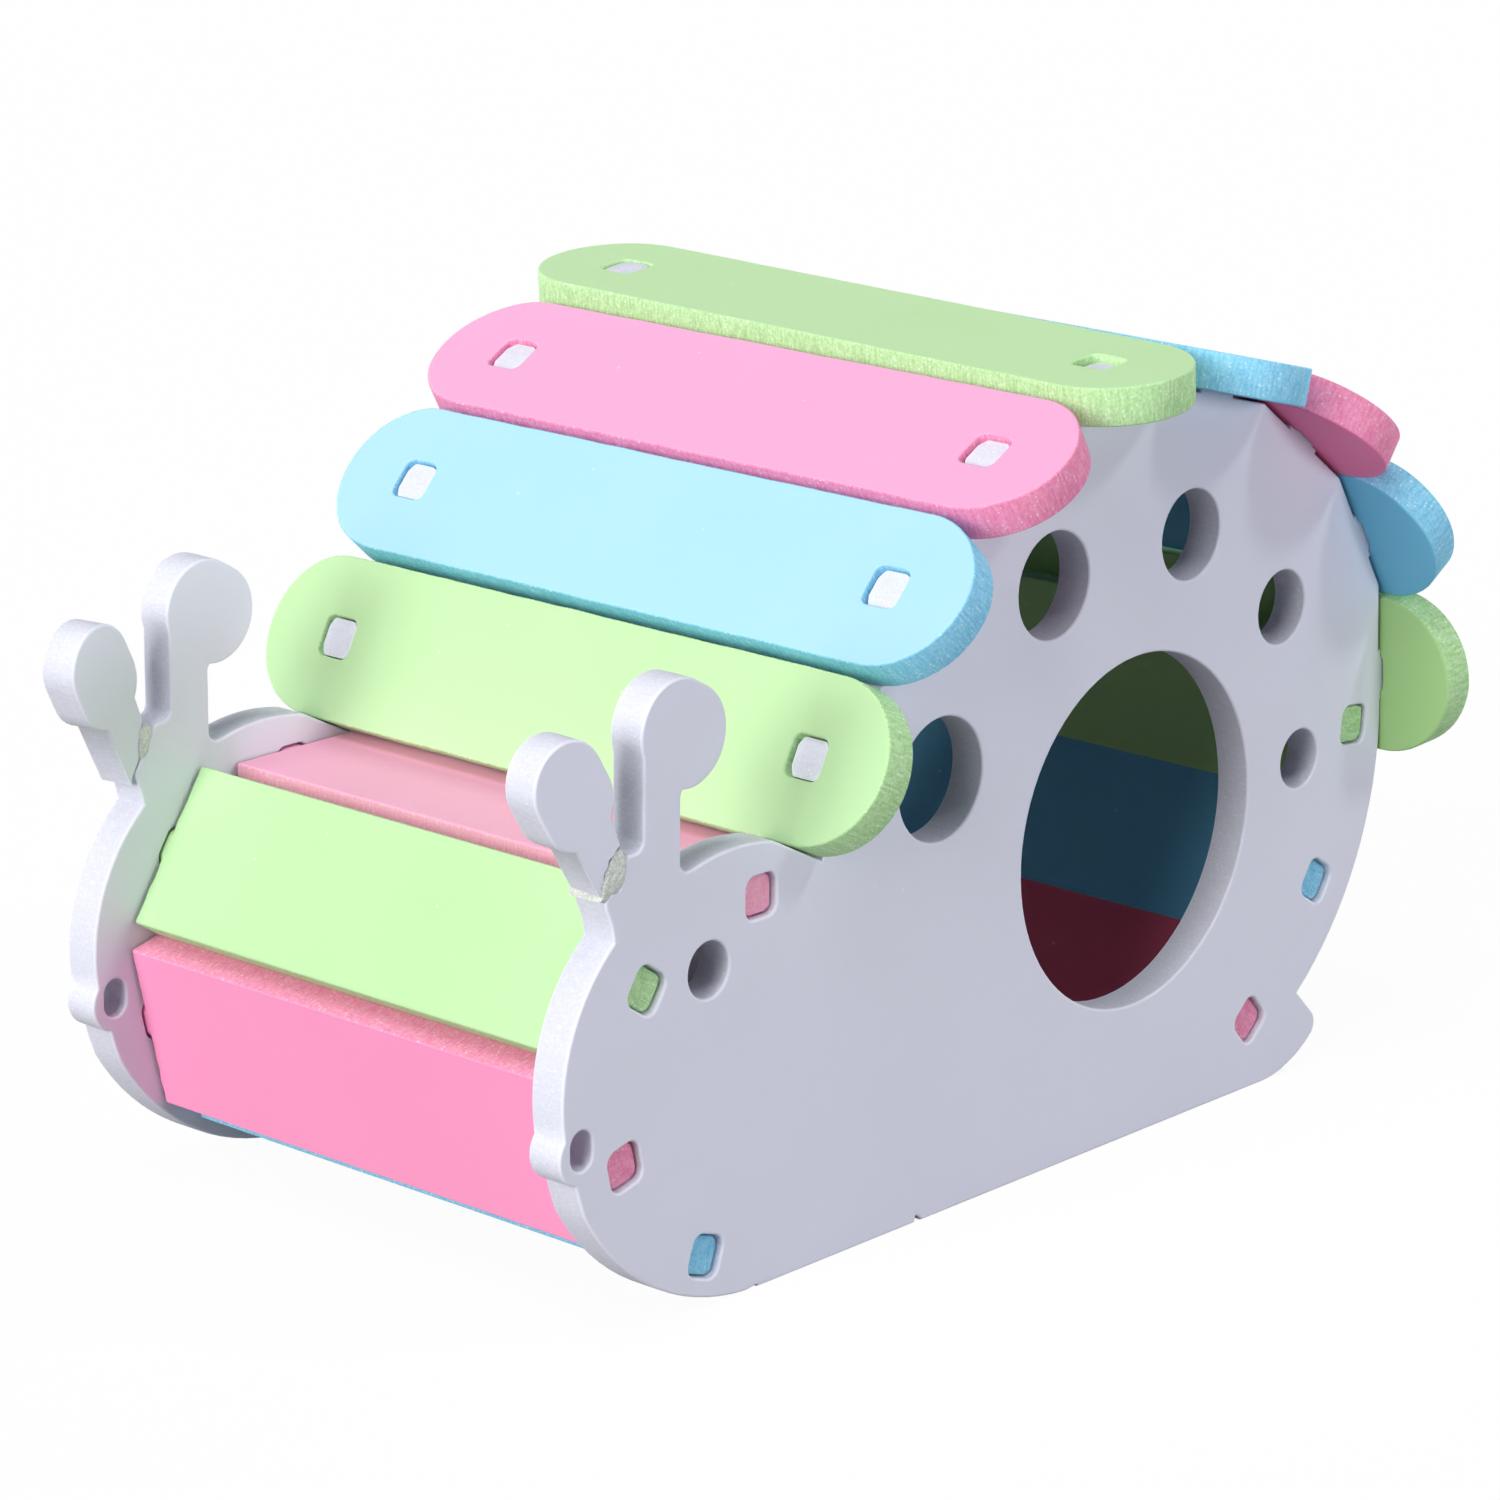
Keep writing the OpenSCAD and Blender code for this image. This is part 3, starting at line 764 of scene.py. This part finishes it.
def tabbed_slat_tree():
    """Board that fits between the panels, with a tab at each end, lying flat round the origin.

    The board is a grid, fine across, with ragged ends. The tabs are the ends of one rod with rounded corners.
    """
    tree, given, out = slat_tree(
        "tabbed_slat",
        (
            "Width", "Length", "Thickness", "Tab Width", "Tab Reach", "Tab Corner",
            "Front Reach", "Rear Reach", "Shoulder Gap", "Raggedness", "Seed",
        ),
    )
    size = given.outputs
    cells = add_node(tree, "GeometryNodeMeshGrid")
    counts = (("Size X", 2.0), ("Size Y", 2.0), ("Vertices X", SHOULDER_STEPS + 1), ("Vertices Y", 2))
    for name, value in counts:
        cells.inputs[name].default_value = value
    position = tree.nodes.new("GeometryNodeInputPosition")
    at = add_node(tree, "ShaderNodeSeparateXYZ", [(position.outputs[0], 0)])
    x = maths(tree, "MULTIPLY", at.outputs["X"], maths(tree, "MULTIPLY", size["Width"], 0.5))
    for limit, edge in (("MINIMUM", "Front Reach"), ("MAXIMUM", "Rear Reach")):
        half = maths(tree, limit, at.outputs["X"], 0.0)
        x = maths(tree, "ADD", x, maths(tree, "MULTIPLY", half, size[edge]))
    spot = vector(tree, at.outputs["X"], at.outputs["Y"], size["Seed"])
    rough = noise(tree, spot, SHOULDER_NOISE, detail=3, roughness=0.6)
    torn = maths(tree, "MULTIPLY", remap(tree, rough.outputs["Fac"], 0.35, 0.75, 0, 1), size["Raggedness"])
    gap = maths(tree, "ADD", torn, size["Shoulder Gap"])
    reach = maths(tree, "SUBTRACT", maths(tree, "MULTIPLY", size["Length"], 0.5), gap)
    sheet = add_node(tree, "GeometryNodeSetPosition", [(cells.outputs["Mesh"], "Geometry")])
    tree.links.new(vector(tree, x, maths(tree, "MULTIPLY", reach, at.outputs["Y"])), sheet.inputs["Position"])
    both = tree.nodes.new("GeometryNodeJoinGeometry")
    tree.links.new(thicken(tree, sheet.outputs["Geometry"], size["Thickness"]), both.inputs[0])
    tab_t = maths(tree, "SUBTRACT", size["Thickness"], TAB_PLAY)
    section = rounded_outline(tree, size["Tab Width"], tab_t, size["Tab Corner"], CORNER_STEPS)
    end = add_node(tree, "GeometryNodeFillCurve", [(section, "Curve")])
    bar = thicken(tree, end.outputs["Mesh"], size["Tab Reach"])
    rod = add_node(tree, "GeometryNodeTransform", [(bar, "Geometry")])
    rod.inputs["Rotation"].default_value = (math.pi / 2, 0, 0)
    tree.links.new(rod.outputs["Geometry"], both.inputs[0])
    finish_slat(tree, given, out, both.outputs[0])
    return tree


def make_slat(node, tree, values):
    """Runs the tree with its inputs, softens the edges and sets the plain mesh in place."""
    place, (width, length, thickness) = board_axes(node)
    skin, cut, shaded_back = finishes[own_shade.get(node, slots[node])]
    # Where the upper face looks into the hideout, it takes the darker copy of the skin colour: painted shade
    if node in inside_up:
        skin, shaded_back = shaded_back, skin
    values = {"Width": width, "Length": length, "Thickness": thickness, **values}
    values |= {"Skin": skin, "Cut": cut, "Under": shaded_back}
    if "Slot Width" in values:
        values["Width"] += ROOF_PRESSED
    else:
        values["Tab Reach"] = length - 2 * own_recess.get(node, TAB_RECESS)
        values["Length"] = CLEAR_WIDTH
        values["Width"] += PRESSED
    maker = link_object(node + "_maker", bpy.data.meshes.new(node + "_maker"))
    nodes_step = maker.modifiers.new("slat", "NODES")
    nodes_step.node_group = tree
    for socket in tree.interface.items_tree:
        if socket.in_out == "INPUT":
            nodes_step[socket.identifier] = values[socket.name]
    soft = maker.modifiers.new("soft_edges", "BEVEL")
    soft.width = EDGE_R
    soft.segments = EDGE_STEPS
    soft.limit_method = "ANGLE"
    soft.angle_limit = EDGE_FROM
    soft.use_clamp_overlap = False
    view = bpy.context.evaluated_depsgraph_get()
    mesh = bpy.data.meshes.new_from_object(maker.evaluated_get(view), depsgraph=view)
    bpy.data.objects.remove(maker)
    mesh.name = node + "_board"
    keep_board_coordinates(mesh)
    smooth_cuts(mesh)
    lift, far_up, front_up = not_home.get(node, (0.0, 0.0, 0.0))
    along = Matrix.Rotation(math.radians(far_up), 4, "X")
    across = Matrix.Rotation(math.radians(front_up), 4, "Y")
    mesh.transform(place @ Matrix.Translation((0, 0, lift)) @ along @ across)
    place_piece(link_object(node + "_board", mesh), node)


# Side panels

def panel_outlines(node):
    """Outlines (x, z) of the panel's face towards -Y, the outer one first, and where that face is along Y.

    The board is on the left of each outline.
    """
    work = bmesh.new()
    work.from_mesh(nodes[node].data)
    bmesh.ops.remove_doubles(work, verts=work.verts, dist=SAME_POINT)
    front = min(v.co.y for v in work.verts)
    face_set = {f for f in work.faces if all(abs(v.co.y - front) < SAME_POINT for v in f.verts)}
    following = {}
    for face in work.faces:
        if face not in face_set:
            continue
        for corner in face.loops:
            if not any(f in face_set for f in corner.edge.link_faces if f is not face):
                following[corner.vert] = corner.link_loop_next.vert
    outlines = []
    while following:
        start = next(iter(following))
        outline = []
        at = start
        while at in following:
            outline.append(Vector((at.co.x, at.co.z)))
            at = following.pop(at)
        outlines.append(drop_short_edges(outline))
    work.free()
    outlines.sort(key=len, reverse=True)
    return outlines, front


def drop_short_edges(outline):
    kept = []
    for point in outline:
        if not kept or (point - kept[-1]).length > SHORTEST_EDGE:
            kept.append(point)
    if (kept[0] - kept[-1]).length < SHORTEST_EDGE:
        kept.pop()
    return kept


def rounded_corner(before, corner, after, radius):
    """Points of an arc that takes the place of a corner."""
    out_a = (before - corner).normalized()
    out_b = (after - corner).normalized()
    half = out_a.angle(out_b) / 2
    middle = corner + (out_a + out_b).normalized() * (radius / math.sin(half))
    start = corner + out_a * (radius / math.tan(half)) - middle
    finish = corner + out_b * (radius / math.tan(half)) - middle
    arc = []
    for k in range(CORNER_STEPS + 1):
        arc.append(middle + start.lerp(finish, k / CORNER_STEPS).normalized() * radius)
    return arc


def round_slot(outline):
    """Slot outline with wider round corners; other holes stay as they are."""
    sides = []
    for a, b in zip(outline, outline[1:] + outline[:1]):
        if (b - a).length > SLOT_W / 2:
            sides.append((a, b))
    if len(sides) != 4:
        return outline
    corners = []
    for (a, b), (c, d) in zip(sides, sides[1:] + sides[:1]):
        corners.append(intersect_line_line_2d(a, b + (b - a), c - (d - c), d))
    smooth = []
    for i, corner in enumerate(corners):
        smooth += rounded_corner(corners[i - 1], corner, corners[(i + 1) % 4], ROUND_SLOT_R)
    return smooth


def round_tail_notch(outline):
    """Outline with a round inside corner between shell and tail."""
    smooth = []
    for i, corner in enumerate(outline):
        before, after = outline[i - 1], outline[(i + 1) % len(outline)]
        turn = (corner - before).angle_signed(after - corner)
        at_tail = corner.x > TAIL_FROM * cad_high[0] and corner.y < TAIL_BELOW * cad_high[2]
        if at_tail and turn > TAIL_NOTCH_TURN:
            reach = min((corner - before).length, (after - corner).length) * TAIL_NOTCH_SHARE
            radius = min(TAIL_NOTCH_R, reach / math.tan(turn / 2))
            smooth += rounded_corner(before, corner, after, radius)
        else:
            smooth.append(corner)
    return smooth


def nick_bottom(outline):
    """Outline with a small nick in its bottom edge."""
    nicked = []
    for a, b in zip(outline, outline[1:] + outline[:1]):
        nicked.append(a)
        if max(a.y, b.y) < EDGE_R and min(a.x, b.x) < NICK[0][0] * MM < max(a.x, b.x):
            nicked += [Vector(p) * MM for p in NICK[:: 1 if b.x > a.x else -1]]
    return nicked


def fit_roof_tabs(outline, side):
    """Outline with the foremost roof tabs raised in their slots, and the softening of each of its points."""
    raises = tab_raise["near" if side < 0 else "far"]
    seats = []
    for slat in roof_slats:
        place, (_, _, thickness) = board_axes(slat)
        seats.append((place, place.inverted(), thickness / 2, raises.get(slat, 0.0)))
    tops = []
    for point in outline:
        top = None
        for place, turned, half, rise in seats:
            local = turned @ Vector((point.x, side, point.y))
            if abs(local.x) < SLOT_W / 2 and 0 < local.z < half:
                raised = place @ (local + Vector((0, 0, rise)))
                top = Vector((raised.x, raised.z))
        tops.append(top)
    moved, radii = [], []
    for point, top, after in zip(outline, tops, tops[1:] + tops[:1]):
        moved.append(point if top is None else top)
        radii.append(EDGE_R if top is None else TAB_EDGE_R)
        if top is not None and after is not None:
            moved += [top.lerp(after, share) for share in TAB_TOP_SHARES]
            radii += [EDGE_R] * len(TAB_TOP_SHARES)
    return moved, radii


def inset(outline, depth):
    """Outline moved into the board by the depth, or by a depth for each point."""
    depths = depth if isinstance(depth, list) else [depth] * len(outline)
    moved = []
    for i, point in enumerate(outline):
        before = (point - outline[i - 1]).normalized()
        after = (outline[(i + 1) % len(outline)] - point).normalized()
        side_a = Vector((-before.y, before.x))
        side_b = Vector((-after.y, after.x))
        share = max(MITRE_LIMIT, 1 + side_a.dot(side_b))
        moved.append(point + (side_a + side_b) * (depths[i] / share))
    return moved


def on_board(point, outlines):
    """Whether a point is inside the outer outline and outside every hole."""
    inside = False
    for outline in outlines:
        for a, b in zip(outline, outline[1:] + outline[:1]):
            if (a.y > point.y) != (b.y > point.y):
                crossing = a.x + (point.y - a.y) / (b.y - a.y) * (b.x - a.x)
                inside ^= crossing > point.x
    return inside


def soft_profile():
    """Steps (inset, depth) of the softened edge from the face to the cut, as shares of its radius."""
    steps = []
    for k in range(EDGE_STEPS + 1):
        a = math.pi / 2 * k / EDGE_STEPS
        steps.append((1 - math.sin(a), 1 - math.cos(a)))
    return steps


def soft_board(outlines, outer_radii=None):
    """Points, faces and finishes (0 skin, 1 cut) of a flat board with softened edges."""
    near = soft_profile()
    profile = [(a, b, 0) for a, b in near] + [(a, -b, PANEL_T) for a, b in reversed(near)]
    points, faces, kinds = [], [], []
    starts = []
    for depth, sunk, level in profile:
        row = []
        for j, outline in enumerate(outlines):
            radii = outer_radii if outer_radii and j == 0 else [EDGE_R] * len(outline)
            row.append(len(points))
            moved = inset(outline, [r * depth for r in radii])
            points += [(p.x, p.y, level + r * sunk) for p, r in zip(moved, radii)]
        starts.append(row)
    for k in range(len(profile) - 1):
        kind = 1 if k == len(near) - 1 else 0
        for j, outline in enumerate(outlines):
            n = len(outline)
            a, b = starts[k][j], starts[k + 1][j]
            for i in range(n):
                i2 = (i + 1) % n
                faces.append((a + i, b + i, b + i2, a + i2))
                kinds.append(kind)
    rims, edges = [], []
    for first, outline in zip(starts[0], outlines):
        n = len(outline)
        rims.append([Vector(p[:2]) for p in points[first : first + n]])
        edges += [(first + i, first + (i + 1) % n) for i in range(n)]
    last = starts[-1][0]
    for ids in triangles(sum(rims, []), edges, rims):
        faces.append(tuple(ids))
        faces.append(tuple(last + i for i in reversed(ids)))
        kinds += [0, 0]
    return points, faces, kinds


def triangles(points, edges, outlines):
    """Triangles between flat points that lie on the board of the outlines."""
    _, _, found, origins, _, _ = delaunay_2d_cdt(points, edges, [], CDT_INSIDE, CDT_CLOSE)
    source = [ids[0] for ids in origins]
    for triangle in found:
        ids = [source[i] for i in triangle]
        if on_board(sum((points[i] for i in ids), Vector((0, 0))) / 3, outlines):
            yield ids


def from_rim(point, outline):
    """Distance of a point from the outline."""
    reach = []
    for a, b in zip(outline, outline[1:] + outline[:1]):
        _, share = intersect_point_line(point, a, b)
        foot = a.lerp(b, min(1, max(0, share)))
        reach.append((foot - point).length)
    return min(reach)


def crumb_lump(outline, seed):
    """Points, faces and finishes (2) of torn foam that fills the outline and bulges from both faces."""
    dice = random.Random(seed)
    rim = inset(outline, -CRUMB_OVERLAP)
    flat = list(rim)
    low = [min(p[k] for p in rim) for k in (0, 1)]
    count = [int((max(p[k] for p in rim) - low[k]) / CRUMB) + 1 for k in (0, 1)]
    for i in range(count[0]):
        for j in range(count[1]):
            at = Vector([low[k] + (n + dice.uniform(*CRUMB_PLACE)) * CRUMB for k, n in ((0, i), (1, j))])
            if on_board(at, [rim]) and from_rim(at, rim) > CRUMB_CLEAR:
                flat.append(at)
    n = len(rim)
    points, faces = [], []
    for level, out in ((0.0, -1), (PANEL_T, 1)):
        for i, p in enumerate(flat):
            rise = 0.0 if i < n else CRUMB_BULGE * dice.uniform(*CRUMB_SPREAD)
            points.append((p.x, p.y, level + out * (rise - CRUMB_SUNK)))
    edges = [(i, (i + 1) % n) for i in range(n)]
    for ids in triangles(flat, edges, [rim]):
        faces.append(tuple(ids))
        faces.append(tuple(len(flat) + i for i in reversed(ids)))
    for i, i2 in edges:
        faces.append((i, len(flat) + i, len(flat) + i2, i2))
    return points, faces, [2] * len(faces)


def break_off(outline, damage):
    """Outlines of the head without its front antenna, of the antenna and of the crumbs between them."""
    def path(name):
        return [Vector(p) * MM for p in damage[name]]

    def nearest(point):
        at = Vector(point) * MM
        return min(range(len(outline)), key=lambda i: (outline[i] - at).length)

    valley = nearest(VALLEY)
    ring = outline[valley:] + outline[:valley]
    root = (nearest(FOREHEAD) - valley) % len(outline)
    antenna = [p for p in ring[1:root] if p.y > ANTENNA_FROM]
    return ring[root:] + ring[:1] + path("head"), antenna + path("antenna"), path("crumbs")


def make_panel(node):
    """Panel with its broken front antenna: head and body, antenna and crumbs in one piece."""
    outlines, front = panel_outlines(node)
    damage = breaks["near" if front < 0 else "far"]
    outer = round_tail_notch(outlines[0])
    if front < 0:
        outer = nick_bottom(outer)
    head, antenna, crumbs = break_off(outer, damage)
    holes = [round_slot(outline) for outline in outlines[1:]]
    side = math.copysign(SLOT_SPACING / 2, front)
    points, faces, kinds = [], [], []
    starts = []
    head, radii = fit_roof_tabs(head, side)
    body = soft_board([head] + holes, radii)
    for part in (body, soft_board([antenna]), crumb_lump(crumbs, CRUMB_SEED)):
        starts.append(len(points))
        faces += [tuple(i + len(points) for i in face) for face in part[1]]
        kinds += part[2]
        points += part[0]
    mesh = bpy.data.meshes.new(node + "_board")
    mesh.from_pydata(points, [], faces)
    for material in (*finishes[slots[node]][:2], crumb_finish):
        mesh.materials.append(material)
    mesh.polygons.foreach_set("material_index", kinds)
    keep_board_coordinates(mesh)
    smooth_cuts(mesh)
    upright = Matrix(((1, 0, 0, 0), (0, 0, 1, front), (0, 1, 0, 0), (0, 0, 0, 1)))
    mesh.transform(upright)
    foot_x, foot_z = damage["antenna"][0]
    foot = Matrix.Translation((foot_x * MM, front + PANEL_T / 2, foot_z * MM))
    twist = Matrix.Rotation(math.radians(damage["twist"]), 4, "Z")
    lean = Matrix.Rotation(math.radians(damage["lean"]), 4, "Y")
    moved = Matrix.Translation(Vector(damage["moved"]) * MM) @ foot @ twist @ lean @ foot.inverted()
    for vertex in mesh.vertices[starts[1] : starts[2]]:
        vertex.co = moved @ vertex.co
    mesh.update()
    place_piece(link_object(node + "_board", mesh), node)


add_camera()

# Lamps: direction, strength, spread in degrees, and colour
add_sun("low_key", (0.98, -0.08, -0.15), 1.7, 28, (1.0, 0.99, 0.98))
add_sun("high_key", (0.89, 0.08, -0.44), 1.43, 34, (1.0, 0.99, 0.98))
add_sun("top", (0.36, 0.04, -0.93), 1.12, 34, (1.0, 1.0, 1.0))
add_sun("near_top", (-0.44, 0.58, -0.69), 0.5, 9, (0.97, 0.98, 1.0))
add_sun("near_fill", (-0.06, 0.99, -0.06), 1.5, 20, (0.93, 0.945, 1.0))
add_sun("far_fill", (-0.06, -0.99, -0.1), 1.3, 12, (0.93, 0.945, 1.0))
add_sun("tail_fill", (-0.98, 0.0, -0.2), 1.1, 30, (1.0, 1.0, 1.0))
add_world(overhead=0.04)
add_floor(half=4.0, bounce=0.25, whiteness=0.96, covered=covered_floor())

for panel in ("left_panel", "right_panel"):
    make_panel(panel)

round_slat = round_ended_slat_tree()
slot_values = {"Slot Width": SLOT_W, "Slot Corner": SLOT_CORNER_R, "Slot Spacing": SLOT_SPACING}
for number, slat in enumerate(roof_slats, 1):
    own_values = {"Slide": off_middle.get(slat, 0.0), "Wander": OUTLINE_WANDER, "Seed": float(number)}
    make_slat(slat, round_slat, {**slot_values, **own_values})

tabbed_slat = tabbed_slat_tree()
inner_slats = (
    "neck_slat", "face_slat", "chin_slat", "front_floor_slat",
    "rear_upper_slat", "rear_middle_slat", "rear_lower_slat",
)
tab_values = {
    "Tab Width": TAB_W - TAB_PLAY, "Tab Corner": TAB_CORNER_R,
    "Shoulder Gap": SHOULDER_SHORT, "Raggedness": SHOULDER_RAGGED,
}
for number, slat in enumerate(inner_slats):
    front_reach, rear_reach = reaches.get(slat, (0.0, 0.0))
    own_values = {"Front Reach": front_reach, "Rear Reach": rear_reach, "Seed": float(number)}
    make_slat(slat, tabbed_slat, {**tab_values, **own_values})

bpy.context.scene.view_settings.view_transform = "Standard"
